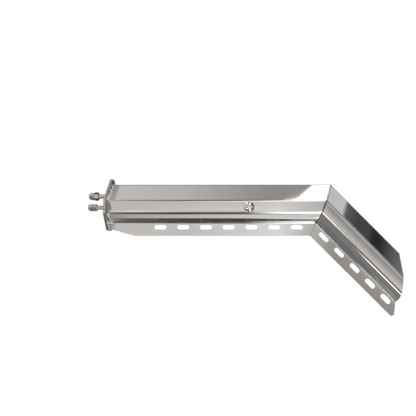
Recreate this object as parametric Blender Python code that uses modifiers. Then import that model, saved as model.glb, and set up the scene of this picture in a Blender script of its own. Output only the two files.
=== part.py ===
"""A spring-loaded, 45 degree angled mud flap hanger for a truck or trailer, in metres.

The frame: the origin lies on the outer face of the mounting plate, halfway between its two bolts.
+X runs along the straight arm, -Y is the polished front, and +Z is up. The hanger is held to the
truck by two long bolts, which slide through the plate against compression springs.
"""

import math

import bmesh
import bpy
from mathutils import Matrix, Vector

MM = 0.001

# Driving dimensions of the arm's sheet section, seen from the plate's end
SHEET = 2.0 * MM
ARM_TOP_Z = 48.6 * MM
ARM_HEIGHT = 135.0 * MM
ARM_REAR_Y = 38.3 * MM
FRONT_Y = -37.5 * MM
FRONT_TOP_Z = 0.0
FRONT_HEIGHT = 31.75 * MM
FLANGE_Y = 13.3 * MM
FLANGE_DROP = 34.65 * MM
REAR_LIP = 17.0 * MM
TOP_BEND = 9.0 * MM
UPPER_FRONT_BEND = 8.0 * MM
LOWER_FRONT_BEND = 11.0 * MM
FLANGE_BEND = 5.0 * MM
LOWER_CREASE_RUN = 0.4
LOWER_CREASE_DROP = 0.58
LOWER_CREASE_BEND = 14.0 * MM
BEND_STEPS = 4

# Driving dimensions of the arm's length
OVERALL_LENGTH = 762.0 * MM
BEND_ANGLE = math.radians(45)
BEND_TOP_X = 582.0 * MM
END_CUT_LEAN = math.radians(6)
END_CORNER_RADIUS = 7.0 * MM
CHAMFER_LENGTH = 61.05 * MM
CHAMFER_RISE = 16.5 * MM

# Slots for the mud flap's bolts
SLOT_LENGTH = 31.75 * MM
SLOT_WIDTH = 12.0 * MM
SLOT_ABOVE_EDGE = 22.3 * MM
SLOT_SIDES = 16
STRAIGHT_SLOTS = 7
STRAIGHT_SLOT_START = 135.0 * MM
STRAIGHT_SLOT_PITCH = 59.4 * MM
ANGLED_SLOTS = 5
ANGLED_SLOT_START = 27.5 * MM
ANGLED_SLOT_PITCH = 57.0 * MM

# Mounting plate, its outline in Y and Z
PLATE = 6.35 * MM
PLATE_OUTLINE_MM = [
    (64, 50), (50, 63.6), (30, 63.6), (-40, 3.1), (-43, -32.7), (-12, -73.3), (20, -73.3), (64, 12),
]
PLATE_CORNER = 4.0 * MM
BOLT_SPACING = 28.58 * MM
PLATE_HOLE = 12.7 * MM

# Mounting bolts, 7/16 in, with their nuts, washers and springs
SHANK = 11.1 * MM
BOLT_LENGTH = 127.0 * MM
HEAD_HEIGHT = 7.1 * MM
HEAD_FLATS = 15.9 * MM
NUT_FLATS = 17.46 * MM
HEAVY_NUT_FLATS = 19.05 * MM
NUT_HEIGHT = 9.5 * MM
LOCK_NUT_HEX = 8.6 * MM
LOCK_NUT_HEIGHT = 12.0 * MM
LOCK_NUT_COLLAR = 15.2 * MM
LOCK_WASHER = 2.8 * MM
LOCK_WASHER_OUTER = 19.5 * MM
LOCK_WASHER_SLIT = 1.6 * MM
SLIT_LEAN = math.radians(30)
SEAT_WASHER = 2.0 * MM
SEAT_WASHER_OUTER = 17.2 * MM
SPRING_OUTER = 17.0 * MM
SPRING_WIRE = 2.4 * MM
SPRING_TURNS = 10
CLOSED_TURN_RISE = 1.04 * SPRING_WIRE
SPRING_POINTS_PER_TURN = 14
UPPER_REACH = 46.5 * MM
LOWER_REACH = 48.6 * MM
BOLT_END_INSET = 1.0 * MM

# Support tube and the carriage bolt that clamps the arm's front to it
TUBE_SIDE = 25.4 * MM
TUBE_WALL = 2.4 * MM
TUBE_CORNER = 3.0 * MM
TUBE_END_X = 395.0 * MM
CARRIAGE_X = 366.3 * MM
CARRIAGE_SHANK = 12.7 * MM
CARRIAGE_HEAD = 26.2 * MM
CARRIAGE_HEAD_HEIGHT = 6.2 * MM
CARRIAGE_LENGTH = 44.45 * MM
CARRIAGE_NECK = 6.0 * MM
CARRIAGE_WASHER = 2.5 * MM
CARRIAGE_WASHER_OUTER = 27.0 * MM
CARRIAGE_NUT_FLATS = 19.05 * MM
CARRIAGE_NUT_HEIGHT = 11.1 * MM

# Welds
SLOPE_BEAD_RADIUS = 3.2 * MM
FRONT_BEAD_RADIUS = 2.2 * MM
FILLET_BEAD_RADIUS = 1.5 * MM
RIPPLE_DEPTH = 0.2
TAPERED_END = 0.35
MITER_WELD = 0.8 * MM

# Room left between neighbours, and the fineness of round pieces
GAP = 0.3 * MM
ROUND = 32
HEX = 6
PAST = 20.0 * MM
MERGE = 0.00001

# Worked out from the dimensions above
FRONT_BOTTOM_Z = FRONT_TOP_Z - FRONT_HEIGHT
FLANGE_BOTTOM_Z = ARM_TOP_Z - ARM_HEIGHT
FLANGE_TOP_Z = FLANGE_BOTTOM_Z + FLANGE_DROP
SLOT_Z = FLANGE_BOTTOM_Z + SLOT_ABOVE_EDGE
MITER_LEAN = BEND_ANGLE / 2
BEND_POINT = Vector((BEND_TOP_X, 0, ARM_TOP_Z))
BEND_TURN = (
    Matrix.Translation(BEND_POINT) @ Matrix.Rotation(BEND_ANGLE, 4, "Y") @ Matrix.Translation(-BEND_POINT)
)
MITER_NORMAL = Vector((math.cos(MITER_LEAN), 0, -math.sin(MITER_LEAN)))
TUBE_FRONT_Y = FRONT_Y + SHEET + GAP
TUBE_REAR_Y = TUBE_FRONT_Y + TUBE_SIDE
TUBE_Z = FRONT_TOP_Z - FRONT_HEIGHT / 2
SLOPE_TURN = math.atan2(ARM_TOP_Z - FRONT_TOP_Z, ARM_REAR_Y - FRONT_Y)

# A hexagon along X shows its flats above and below, or its corners
FLAT_UP = math.radians(30)
CORNER_UP = 0.0

# Places an outline drawn in Y and Z across the X axis
YZ_TO_XYZ = Matrix(((0, 0, 1, 0), (1, 0, 0, 0), (0, 1, 0, 0), (0, 0, 0, 1)))


# ---------------------------------------------------------------- collections and materials


def clear_scene():
    """Remove every object that the scene starts with."""
    for old in list(bpy.data.objects):
        bpy.data.objects.remove(old, do_unlink=True)


def collection(name):
    """Make a collection in the scene."""
    made = bpy.data.collections.new(name)
    bpy.context.scene.collection.children.link(made)
    return made


def material(name, color, metallic, roughness):
    """Make a Principled BSDF material."""
    made = bpy.data.materials.new(name)
    made.use_nodes = True
    shader = made.node_tree.nodes["Principled BSDF"]
    shader.inputs["Base Color"].default_value = (*color, 1)
    shader.inputs["Metallic"].default_value = metallic
    shader.inputs["Roughness"].default_value = roughness
    return made


clear_scene()
PARTS = collection("mud_flap_hanger")
CUTTERS = collection("cutters")
STAINLESS = {"color": (0.66, 0.65, 0.64), "metallic": 1.0, "roughness": 0.08}
PLATE_STEEL = {"color": (0.50, 0.49, 0.47), "metallic": 1.0, "roughness": 0.28}
WELD_STEEL = {"color": (0.62, 0.61, 0.59), "metallic": 1.0, "roughness": 0.3}
ZINC = {"color": (0.52, 0.51, 0.47), "metallic": 1.0, "roughness": 0.3}
SPRING_STEEL = {"color": (0.16, 0.16, 0.17), "metallic": 1.0, "roughness": 0.4}
TUBE_STEEL = {"color": (0.09, 0.09, 0.10), "metallic": 0.6, "roughness": 0.5}


# ---------------------------------------------------------------- shared shapes


def put(name, data, home):
    """Put mesh or curve data in the scene as a named object of one collection."""
    made = bpy.data.objects.new(name, data)
    home.objects.link(made)
    return made


def part(name, data, finish):
    """Put a sub-part in the scene with a material of its own."""
    made = put(name, data, PARTS)
    data.materials.append(material(name, **finish))
    return made


def cutter(name, data):
    """Put a cutting shape in the scene, drawn as wire and left out of the model."""
    made = put(name, data, CUTTERS)
    made.hide_render = True
    made.display_type = "WIRE"
    return made


def mesh_from(bm, name):
    """Turn a bmesh into mesh data."""
    data = bpy.data.meshes.new(name)
    bm.to_mesh(data)
    bm.free()
    return data


def boolean(target, tool, operation="DIFFERENCE"):
    """Cut a part with a cutter, or join another shape to it."""
    step = target.modifiers.new(tool.name, "BOOLEAN")
    step.operation = operation
    step.solver = "EXACT"
    step.object = tool


def smooth(data, angle=math.radians(30)):
    """Shade a mesh smooth, with sharp edges past an angle."""
    data.shade_smooth()
    data.set_sharp_from_angle(angle=angle)


def fillet_path(corners, radii, steps, closed=False):
    """Round the corners of a path of 2D points, each with an arc of its own radius."""
    path = []
    count = len(corners)
    for index, (corner, radius) in enumerate(zip(corners, radii)):
        at_end = not closed and index in (0, count - 1)
        if at_end or radius == 0:
            path.append(Vector(corner))
            continue
        corner = Vector(corner)
        back = (Vector(corners[index - 1]) - corner).normalized()
        ahead = (Vector(corners[(index + 1) % count]) - corner).normalized()
        half = back.angle(ahead) / 2
        centre = corner + (back + ahead).normalized() * radius / math.sin(half)
        first = corner + back * radius / math.tan(half) - centre
        last = corner + ahead * radius / math.tan(half) - centre
        sweep = first.angle_signed(last)
        for step in range(steps + 1):
            path.append(centre + Matrix.Rotation(-sweep * step / steps, 2) @ first)
    return path


def cylinder_mesh(name, radius, start, end, sides=ROUND, turn=0.0):
    """A cylinder, or a prism of few sides, between two points."""
    axis = end - start
    place = (
        Matrix.Translation((start + end) / 2)
        @ axis.to_track_quat("Z", "Y").to_matrix().to_4x4()
        @ Matrix.Rotation(turn, 4, "Z")
    )
    bm = bmesh.new()
    bmesh.ops.create_cone(
        bm, cap_ends=True, segments=sides, radius1=radius, radius2=radius, depth=axis.length, matrix=place
    )
    data = mesh_from(bm, name)
    if sides > HEX:
        smooth(data)
    return data


def box_mesh(name, size, place):
    """A box of a given size, placed by a matrix."""
    bm = bmesh.new()
    bmesh.ops.create_cube(bm, size=1, matrix=place @ Matrix.Diagonal((*size, 1)))
    return mesh_from(bm, name)


def half_space(name, point, normal):
    """A large cutting block with one face through a point, which fills the side its normal is on."""
    side = OVERALL_LENGTH
    turn = normal.to_track_quat("Z", "Y").to_matrix().to_4x4()
    place = Matrix.Translation(point + normal * side / 2) @ turn
    return cutter(name, box_mesh(name, (side, side, side), place))


def prism_mesh(name, outline, depth, place):
    """A flat outline as a filled 2D curve with thickness, made a mesh and placed by a matrix."""
    curve = bpy.data.curves.new(name, "CURVE")
    curve.dimensions = "2D"
    curve.fill_mode = "BOTH"
    curve.extrude = depth / 2
    spline = curve.splines.new("POLY")
    spline.points.add(len(outline) - 1)
    for point, corner in zip(spline.points, outline):
        point.co = (corner[0], corner[1], 0, 1)
    spline.use_cyclic_u = True
    data = curve_mesh(name, curve)
    data.transform(place)
    return data


def curve_mesh(name, curve):
    """Turn a curve into mesh data, with its loose caps welded on."""
    holder = put(name + "_curve", curve, CUTTERS)
    bpy.context.view_layer.update()
    evaluated = holder.evaluated_get(bpy.context.evaluated_depsgraph_get())
    data = bpy.data.meshes.new_from_object(evaluated)
    bpy.data.objects.remove(holder)
    data.name = name
    bm = bmesh.new()
    bm.from_mesh(data)
    bmesh.ops.remove_doubles(bm, verts=bm.verts, dist=MERGE)
    bmesh.ops.recalc_face_normals(bm, faces=bm.faces)
    bm.to_mesh(data)
    bm.free()
    return data


def wire_mesh(name, points, radius, swell=None):
    """A round wire or bead along 3D points; swell scales its radius at each point."""
    curve = bpy.data.curves.new(name, "CURVE")
    curve.dimensions = "3D"
    curve.bevel_depth = radius
    curve.bevel_resolution = 2
    curve.use_fill_caps = True
    spline = curve.splines.new("POLY")
    spline.points.add(len(points) - 1)
    for index, (place, point) in enumerate(zip(points, spline.points)):
        point.co = (*place, 1)
        if swell:
            point.radius = swell(index / (len(points) - 1))
    data = curve_mesh(name, curve)
    smooth(data)
    return data


def turned_mesh(name, profile, place, closed=True):
    """Turn a profile of (radius, height) points about Z, then place it by a matrix."""
    bm = bmesh.new()
    verts = [bm.verts.new((radius, 0, height)) for radius, height in profile]
    for first, second in zip(verts, verts[1:]):
        bm.edges.new((first, second))
    if closed:
        bm.edges.new((verts[-1], verts[0]))
    holder = put(name + "_profile", mesh_from(bm, name), CUTTERS)
    screw = holder.modifiers.new("turn", "SCREW")
    screw.steps = ROUND
    screw.render_steps = ROUND
    screw.use_merge_vertices = True
    screw.merge_threshold = MERGE
    bpy.context.view_layer.update()
    evaluated = holder.evaluated_get(bpy.context.evaluated_depsgraph_get())
    data = bpy.data.meshes.new_from_object(evaluated)
    bpy.data.objects.remove(holder)
    data.name = name
    data.transform(place)
    smooth(data)
    return data


def ring_mesh(name, inner, outer, start_x, end_x, centre):
    """A washer or collar on an axis along X, between two places on it."""
    length = end_x - start_x
    profile = [(outer, length), (outer, 0), (inner, 0), (inner, length)]
    place = Matrix.Translation((start_x, centre[0], centre[1])) @ Matrix.Rotation(math.radians(90), 4, "Y")
    return turned_mesh(name, profile, place)


# ---------------------------------------------------------------- the arm's sheet metal


def arm_section():
    """The outer face of the arm's section in Y and Z, from the rear lip round to the flange's edge."""
    to_top = Vector((ARM_REAR_Y - TOP_BEND - FRONT_Y, ARM_TOP_Z - TOP_BEND - FRONT_TOP_Z))
    slope = math.atan2(to_top.y, to_top.x) + math.asin(TOP_BEND / to_top.length)
    corner_z = FRONT_TOP_Z + (ARM_REAR_Y - FRONT_Y) * math.tan(slope)
    crease = (
        FRONT_Y + LOWER_CREASE_RUN * (FLANGE_Y - FRONT_Y),
        FRONT_BOTTOM_Z + LOWER_CREASE_DROP * (FLANGE_TOP_Z - FRONT_BOTTOM_Z),
    )
    corners = [
        (ARM_REAR_Y, ARM_TOP_Z - REAR_LIP),
        (ARM_REAR_Y, corner_z),
        (FRONT_Y, FRONT_TOP_Z),
        (FRONT_Y, FRONT_BOTTOM_Z),
        crease,
        (FLANGE_Y, FLANGE_TOP_Z),
        (FLANGE_Y, FLANGE_BOTTOM_Z),
    ]
    radii = [0, TOP_BEND, UPPER_FRONT_BEND, LOWER_FRONT_BEND, LOWER_CREASE_BEND, FLANGE_BEND, 0]
    return corners, fillet_path(corners, radii, BEND_STEPS)


SECTION_CORNERS, SECTION = arm_section()


def sheet_arm(name, start_x, end_x):
    """A length of the arm: its outer face as an open surface, thickened inwards."""
    bm = bmesh.new()
    near = [bm.verts.new((start_x, y, z)) for y, z in SECTION]
    far = [bm.verts.new((end_x, y, z)) for y, z in SECTION]
    for index in range(len(SECTION) - 1):
        bm.faces.new((near[index], near[index + 1], far[index + 1], far[index]))
    data = mesh_from(bm, name)
    smooth(data)
    made = part(name, data, STAINLESS)
    shell = made.modifiers.new("sheet", "SOLIDIFY")
    shell.thickness = SHEET
    shell.offset = -1
    shell.use_even_offset = True
    return made


def slot_cutter(name, start_x, pitch, count, turn):
    """A row of plugs the shape of the slots, across the flange, turned with the arm they cut."""
    bm = bmesh.new()
    half_run = (SLOT_LENGTH - SLOT_WIDTH) / 2
    across = Matrix.Rotation(math.radians(90), 4, "X") @ Matrix.Rotation(math.pi / SLOT_SIDES, 4, "Z")
    for index in range(count):
        centre = Vector((start_x + index * pitch, FLANGE_Y, SLOT_Z))
        plug = bmesh.ops.create_cone(
            bm, cap_ends=True, segments=SLOT_SIDES, radius1=SLOT_WIDTH / 2, radius2=SLOT_WIDTH / 2,
            depth=PAST, matrix=across,
        )["verts"]
        for vert in plug:
            vert.co.x += math.copysign(half_run, vert.co.x)
            vert.co = turn @ (vert.co + centre)
    return cutter(name, mesh_from(bm, name))


def square_hole_cutter(name, side, start_y, end_y):
    """A square plug along Y at the carriage bolt."""
    place = Matrix.Translation((CARRIAGE_X, (start_y + end_y) / 2, TUBE_Z))
    return cutter(name, box_mesh(name, (side, end_y - start_y, side), place))


def arm_straight():
    """The straight arm, from the plate to the miter, with slots and the carriage bolt's square hole."""
    made = sheet_arm("arm_straight", PLATE + GAP, BEND_TOP_X + PAST)
    weld_side = BEND_POINT - MITER_NORMAL * (MITER_WELD / 2 + GAP)
    boolean(made, half_space("miter_cut_straight", weld_side, MITER_NORMAL))
    chamfer_end = Vector((PLATE + CHAMFER_LENGTH, 0, FLANGE_BOTTOM_Z))
    chamfer_side = Vector((-CHAMFER_RISE, 0, -CHAMFER_LENGTH)).normalized()
    boolean(made, half_space("chamfer_cut", chamfer_end, chamfer_side))
    boolean(made, slot_cutter("straight_slots", STRAIGHT_SLOT_START, STRAIGHT_SLOT_PITCH, STRAIGHT_SLOTS,
                              Matrix.Identity(4)))
    neck_hole = CARRIAGE_SHANK + 2 * GAP
    inside_y = FRONT_Y + SHEET + GAP / 2
    boolean(made, square_hole_cutter("front_square_hole", neck_hole, FRONT_Y - PAST, inside_y))


def far_end_corner():
    """Where the flange's lower edge meets the far end's cut, and the directions away along both."""
    along = Vector((math.cos(BEND_ANGLE), -math.sin(BEND_ANGLE)))
    edge = BEND_TURN @ Vector((BEND_TOP_X, 0, FLANGE_BOTTOM_Z))
    top = end_cut_point()
    rise = Vector((math.sin(END_CUT_LEAN), math.cos(END_CUT_LEAN)))
    gap = Vector((top.x - edge.x, top.z - edge.z))
    run = gap.cross(rise) / along.cross(rise)
    return Vector((edge.x, edge.z)) + along * run, -along, rise


def end_cut_point():
    """The far end's top corner, the furthest point of the arm."""
    run = (OVERALL_LENGTH - BEND_TOP_X) / math.cos(BEND_ANGLE)
    return BEND_POINT + Vector((math.cos(BEND_ANGLE), 0, -math.sin(BEND_ANGLE))) * run


def end_corner_cutter():
    """What the rounded lower corner at the far end leaves out, as a prism across the flange."""
    corner, back, rise = far_end_corner()
    reach = 4 * END_CORNER_RADIUS
    arc = fillet_path([corner + back * reach, corner, corner + rise * reach], [0, END_CORNER_RADIUS, 0],
                      BEND_STEPS + 2)[1:-1]
    outside = corner - (back + rise).normalized() * END_CORNER_RADIUS
    place = Matrix.Translation((0, FLANGE_Y, 0)) @ Matrix.Rotation(math.radians(90), 4, "X")
    return cutter("end_corner", prism_mesh("end_corner", [*arc, outside], 2 * PAST, place))


def arm_angled():
    """The angled arm, from the miter to the slanted far end, with slots in its flange."""
    made = sheet_arm("arm_angled", BEND_TOP_X - PAST, BEND_TOP_X + OVERALL_LENGTH / 2)
    made.data.transform(BEND_TURN)
    weld_side = BEND_POINT + MITER_NORMAL * (MITER_WELD / 2 + GAP)
    boolean(made, half_space("miter_cut_angled", weld_side, -MITER_NORMAL))
    end_normal = Vector((math.cos(END_CUT_LEAN), 0, -math.sin(END_CUT_LEAN)))
    boolean(made, half_space("far_end_cut", end_cut_point(), end_normal))
    inner_corner_x = BEND_TOP_X + ARM_HEIGHT * math.tan(MITER_LEAN)
    boolean(made, slot_cutter("angled_slots", inner_corner_x + ANGLED_SLOT_START, ANGLED_SLOT_PITCH,
                              ANGLED_SLOTS, BEND_TURN))
    boolean(made, end_corner_cutter())


def miter_weld():
    """The weld that joins the two arms: a thin slice of their section in the miter plane."""
    made = sheet_arm("miter_weld", BEND_TOP_X - ARM_HEIGHT, BEND_TOP_X + PAST)
    turn = MITER_NORMAL.to_track_quat("Z", "Y").to_matrix().to_4x4()
    size = (OVERALL_LENGTH, OVERALL_LENGTH, MITER_WELD)
    slab = cutter("miter_slab", box_mesh("miter_slab", size, Matrix.Translation(BEND_POINT) @ turn))
    boolean(made, slab, "INTERSECT")


# ---------------------------------------------------------------- mounting plate, tube and welds


def mounting_plate():
    """The thick plate at the arm's end, with a clearance hole for each bolt."""
    corners = [(y * MM, z * MM) for y, z in PLATE_OUTLINE_MM]
    outline = fillet_path(corners, [PLATE_CORNER] * len(corners), BEND_STEPS, closed=True)
    place = Matrix.Translation((PLATE / 2, 0, 0)) @ YZ_TO_XYZ
    made = part("mounting_plate", prism_mesh("mounting_plate", outline, PLATE, place), PLATE_STEEL)
    for side, centre_z in (("upper", BOLT_SPACING / 2), ("lower", -BOLT_SPACING / 2)):
        start = Vector((-PAST, 0, centre_z))
        hole = cylinder_mesh(side + "_plate_hole", PLATE_HOLE / 2, start, start + Vector((3 * PAST, 0, 0)))
        boolean(made, cutter(side + "_plate_hole", hole))


def support_tube():
    """The square tube behind the arm's front face, from the plate to just past the carriage bolt."""
    half = TUBE_SIDE / 2
    centre_y = TUBE_FRONT_Y + half
    outer = [(half, half), (-half, half), (-half, -half), (half, -half)]
    inside = half - TUBE_WALL
    inner = [(inside, inside), (-inside, inside), (-inside, -inside), (inside, -inside)]
    start_x = PLATE + GAP
    length = TUBE_END_X - start_x
    place = Matrix.Translation(((start_x + TUBE_END_X) / 2, centre_y, TUBE_Z)) @ YZ_TO_XYZ
    rounded = fillet_path(outer, [TUBE_CORNER] * 4, BEND_STEPS, closed=True)
    made = part("support_tube", prism_mesh("support_tube", rounded, length, place), TUBE_STEEL)
    hollow = fillet_path(inner, [TUBE_CORNER - TUBE_WALL] * 4, BEND_STEPS, closed=True)
    boolean(made, cutter("tube_hollow", prism_mesh("tube_hollow", hollow, length + PAST, place)))
    hole = CARRIAGE_SHANK + 2 * GAP
    boolean(made, square_hole_cutter("tube_square_hole", hole, TUBE_FRONT_Y - PAST, centre_y))
    start = Vector((CARRIAGE_X, centre_y, TUBE_Z))
    bore = cylinder_mesh("tube_bore", hole / 2, start, start + Vector((0, TUBE_SIDE, 0)))
    boolean(made, cutter("tube_bore", bore))


def bead(name, start, end, radius, ripples, taper=False):
    """A weld bead from one point to another, rippled along its length or tapered to both ends."""
    count = 4 * ripples + 1
    points = [start.lerp(end, index / (count - 1)) for index in range(count)]

    def swell(run):
        if taper:
            return TAPERED_END + (1 - TAPERED_END) * math.sin(math.pi * run)
        return 1 - RIPPLE_DEPTH * math.sin(math.pi * ripples * run) ** 2

    part(name, wire_mesh(name, points, radius, swell), WELD_STEEL)


def plate_beads():
    """The welds in the corners between the plate's inner face and the arm's outer faces."""
    top, front_top, front_bottom, crease, flange_top = [Vector(corner) for corner in SECTION_CORNERS[1:6]]
    # Each run goes from a share of the way between two corners to another share
    runs = (
        ("upper_plate_weld", top, front_top, 0.2, 0.93, SLOPE_BEAD_RADIUS, 6, False),
        ("front_plate_weld", front_top, front_bottom, 0.1, 0.9, FRONT_BEAD_RADIUS, 6, True),
        ("lower_plate_weld", crease, flange_top, -0.4, 0.8, SLOPE_BEAD_RADIUS, 4, False),
    )
    for name, first, second, begin, finish, radius, ripples, taper in runs:
        along = (second - first).normalized()
        outward = Vector((along.y, -along.x)) * (GAP + radius)
        start = first.lerp(second, begin) + outward
        end = first.lerp(second, finish) + outward
        bead_x = PLATE + GAP + radius
        bead(name, Vector((bead_x, *start)), Vector((bead_x, *end)), radius, ripples, taper)


def tube_beads():
    """The welds that hold the support tube to the plate, above and below it."""
    stand_off = GAP + FILLET_BEAD_RADIUS
    inset = TUBE_CORNER + GAP
    for name, side in (("upper_tube_weld", 1), ("lower_tube_weld", -1)):
        centre_z = TUBE_Z + side * (TUBE_SIDE / 2 + stand_off)
        start = Vector((PLATE + stand_off, TUBE_FRONT_Y + 2 * inset, centre_z))
        end = Vector((PLATE + stand_off, TUBE_REAR_Y - inset, centre_z))
        bead(name, start, end, FILLET_BEAD_RADIUS, 4)


# ---------------------------------------------------------------- carriage bolt


def dome_profile(radius, height, steps=8):
    """Half of a round head's outline, from its rim to the top of its dome, as (radius, height)."""
    dome_radius = (radius * radius + height * height) / (2 * height)
    top = math.asin(radius / dome_radius)
    angles = [top * (1 - step / steps) for step in range(steps + 1)]
    return [(dome_radius * math.sin(a), dome_radius * (math.cos(a) - 1) + height) for a in angles]


def carriage_bolt():
    """The round-headed bolt through the arm's front face and the support tube."""
    head_y = FRONT_Y - GAP
    face_front = Matrix.Translation((CARRIAGE_X, head_y, TUBE_Z)) @ Matrix.Rotation(math.radians(90), 4, "X")
    dome = dome_profile(CARRIAGE_HEAD / 2, CARRIAGE_HEAD_HEIGHT)
    shank = CARRIAGE_SHANK / 2
    profile = [*reversed(dome), (shank, 0), (shank, -CARRIAGE_LENGTH), (0, -CARRIAGE_LENGTH)]
    made = part("carriage_bolt", turned_mesh("carriage_bolt", profile, face_front, closed=False), ZINC)
    neck = square_hole_cutter("carriage_neck", CARRIAGE_SHANK, head_y - GAP, head_y + CARRIAGE_NECK)
    boolean(made, neck, "UNION")


def carriage_fasteners():
    """The washer and nut that hold the carriage bolt behind the tube."""
    turn = Matrix.Rotation(math.radians(-90), 4, "X")
    washer_y = TUBE_REAR_Y + GAP
    inner = CARRIAGE_SHANK / 2 + GAP
    outer = CARRIAGE_WASHER_OUTER / 2
    profile = [(outer, CARRIAGE_WASHER), (outer, 0), (inner, 0), (inner, CARRIAGE_WASHER)]
    place = Matrix.Translation((CARRIAGE_X, washer_y, TUBE_Z)) @ turn
    part("carriage_washer", turned_mesh("carriage_washer", profile, place), ZINC)
    start = Vector((CARRIAGE_X, washer_y + CARRIAGE_WASHER + GAP, TUBE_Z))
    end = start + Vector((0, CARRIAGE_NUT_HEIGHT, 0))
    hex_nut("carriage_nut", start, end, CARRIAGE_NUT_FLATS, CARRIAGE_SHANK)


# ---------------------------------------------------------------- mounting bolts


def across_corners(flats):
    """A hexagon's corner radius from its width across the flats."""
    return flats / 2 / math.cos(math.pi / HEX)


def hex_nut(name, start, end, flats, shank, turn=0.0):
    """A plain hex nut on a shank, between two points on its axis."""
    made = part(name, cylinder_mesh(name, across_corners(flats), start, end, HEX, turn), ZINC)
    reach = (end - start).normalized() * PAST
    bore = cylinder_mesh(name + "_bore", shank / 2 + GAP, start - reach, end + reach)
    boolean(made, cutter(name + "_bore", bore))
    return made


def lock_nut(name, outer_x, centre_z):
    """A lock nut whose round collar faces outwards, towards -X."""
    hex_start = Vector((outer_x + LOCK_NUT_HEIGHT - LOCK_NUT_HEX, 0, centre_z))
    hex_end = Vector((outer_x + LOCK_NUT_HEIGHT, 0, centre_z))
    made = part(name, cylinder_mesh(name, across_corners(NUT_FLATS), hex_start, hex_end, HEX, FLAT_UP), ZINC)
    radius = LOCK_NUT_COLLAR / 2
    shoulder = LOCK_NUT_HEIGHT - LOCK_NUT_HEX / 2
    profile = [(0, 0), *collar_outline(radius), (radius, shoulder), (0, shoulder)]
    place = Matrix.Translation((outer_x, 0, centre_z)) @ Matrix.Rotation(math.radians(90), 4, "Y")
    collar = turned_mesh(name + "_collar", list(reversed(profile)), place, closed=False)
    boolean(made, cutter(name + "_collar", collar), "UNION")
    bore_start = Vector((outer_x - PAST, 0, centre_z))
    bore = cylinder_mesh(name + "_bore", SHANK / 2 + GAP, bore_start, hex_end + Vector((PAST, 0, 0)))
    boolean(made, cutter(name + "_bore", bore))


def collar_outline(radius, rounding=2.0 * MM, steps=4):
    """The rounded outer edge of a lock nut's collar, as (radius, height) from its end face."""
    angles = [math.pi / 2 * step / steps for step in range(steps + 1)]
    return [
        (radius - rounding + rounding * math.sin(angle), rounding - rounding * math.cos(angle))
        for angle in angles
    ]


def mounting_bolt(name, end_x, centre_z):
    """A long hex bolt: its head inside the arm, its threaded end past the plate."""
    seat_x = end_x + BOLT_LENGTH
    seat = Vector((seat_x, 0, centre_z))
    turn = math.radians(90) - SLOPE_TURN
    head_end = seat + Vector((HEAD_HEIGHT, 0, 0))
    head = cylinder_mesh(name, across_corners(HEAD_FLATS), seat, head_end, HEX, turn)
    made = part(name, head, ZINC)
    shank_end = seat + Vector((GAP, 0, 0))
    shank = cylinder_mesh(name + "_shank", SHANK / 2, Vector((end_x, 0, centre_z)), shank_end)
    boolean(made, cutter(name + "_shank", shank), "UNION")
    return seat_x


def coil_points(start_x, length, radius, centre_z):
    """Points along a compression spring whose first and last turns lie closed."""
    open_rise = length - 2 * CLOSED_TURN_RISE
    points = []
    for step in range(SPRING_TURNS * SPRING_POINTS_PER_TURN + 1):
        turns = step / SPRING_POINTS_PER_TURN
        closed = min(turns, 1) + max(turns - SPRING_TURNS + 1, 0)
        opened = min(max((turns - 1) / (SPRING_TURNS - 2), 0), 1)
        along = start_x + closed * CLOSED_TURN_RISE + opened * open_rise
        angle = 2 * math.pi * turns
        points.append(Vector((along, radius * math.cos(angle), centre_z + radius * math.sin(angle))))
    return points


def spring(name, start_x, end_x, centre_z):
    """The compression spring between the plate's seat washer and the bolt head's."""
    half_wire = SPRING_WIRE / 2
    length = end_x - start_x - SPRING_WIRE - 2 * GAP
    points = coil_points(start_x + half_wire + GAP, length, SPRING_OUTER / 2 - half_wire, centre_z)
    part(name, wire_mesh(name, points, half_wire), SPRING_STEEL)


def lock_washer(name, start_x, centre_z):
    """A split spring washer."""
    inner = SHANK / 2 + GAP
    outer = LOCK_WASHER_OUTER / 2
    ring = ring_mesh(name, inner, outer, start_x, start_x + LOCK_WASHER, (0, centre_z))
    made = part(name, ring, ZINC)
    size = (3 * LOCK_WASHER, LOCK_WASHER_SLIT, outer)
    middle = Matrix.Translation((start_x + LOCK_WASHER / 2, 0, centre_z + (outer + inner) / 2))
    place = middle @ Matrix.Rotation(SLIT_LEAN, 4, "Z")
    boolean(made, cutter(name + "_slit", box_mesh(name + "_slit", size, place)))


def bolt_set(side, reach, centre_z, nut_flats, nut_turn, with_lock_washer):
    """One mounting bolt with its spring, seat washers, outer lock nut and inner nut."""
    seat_x = mounting_bolt(side + "_mounting_bolt", -reach + BOLT_END_INSET, centre_z)
    centre = (0, centre_z)
    loose = SHANK / 2 + GAP
    plate_seat_x = PLATE + GAP
    head_seat_x = seat_x - GAP - SEAT_WASHER
    for name, start_x in (("_plate_washer", plate_seat_x), ("_head_washer", head_seat_x)):
        ring = ring_mesh(side + name, loose, SEAT_WASHER_OUTER / 2, start_x, start_x + SEAT_WASHER, centre)
        part(side + name, ring, ZINC)
    spring(side + "_spring", plate_seat_x + SEAT_WASHER, head_seat_x, centre_z)

    lock_nut(side + "_outer_nut", -reach, centre_z)
    stack_x = -reach + LOCK_NUT_HEIGHT + GAP
    if with_lock_washer:
        lock_washer(side + "_lock_washer", stack_x, centre_z)
        stack_x += LOCK_WASHER + GAP
    start = Vector((stack_x, 0, centre_z))
    end = start + Vector((NUT_HEIGHT, 0, 0))
    hex_nut(side + "_inner_nut", start, end, nut_flats, SHANK, nut_turn)


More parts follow.
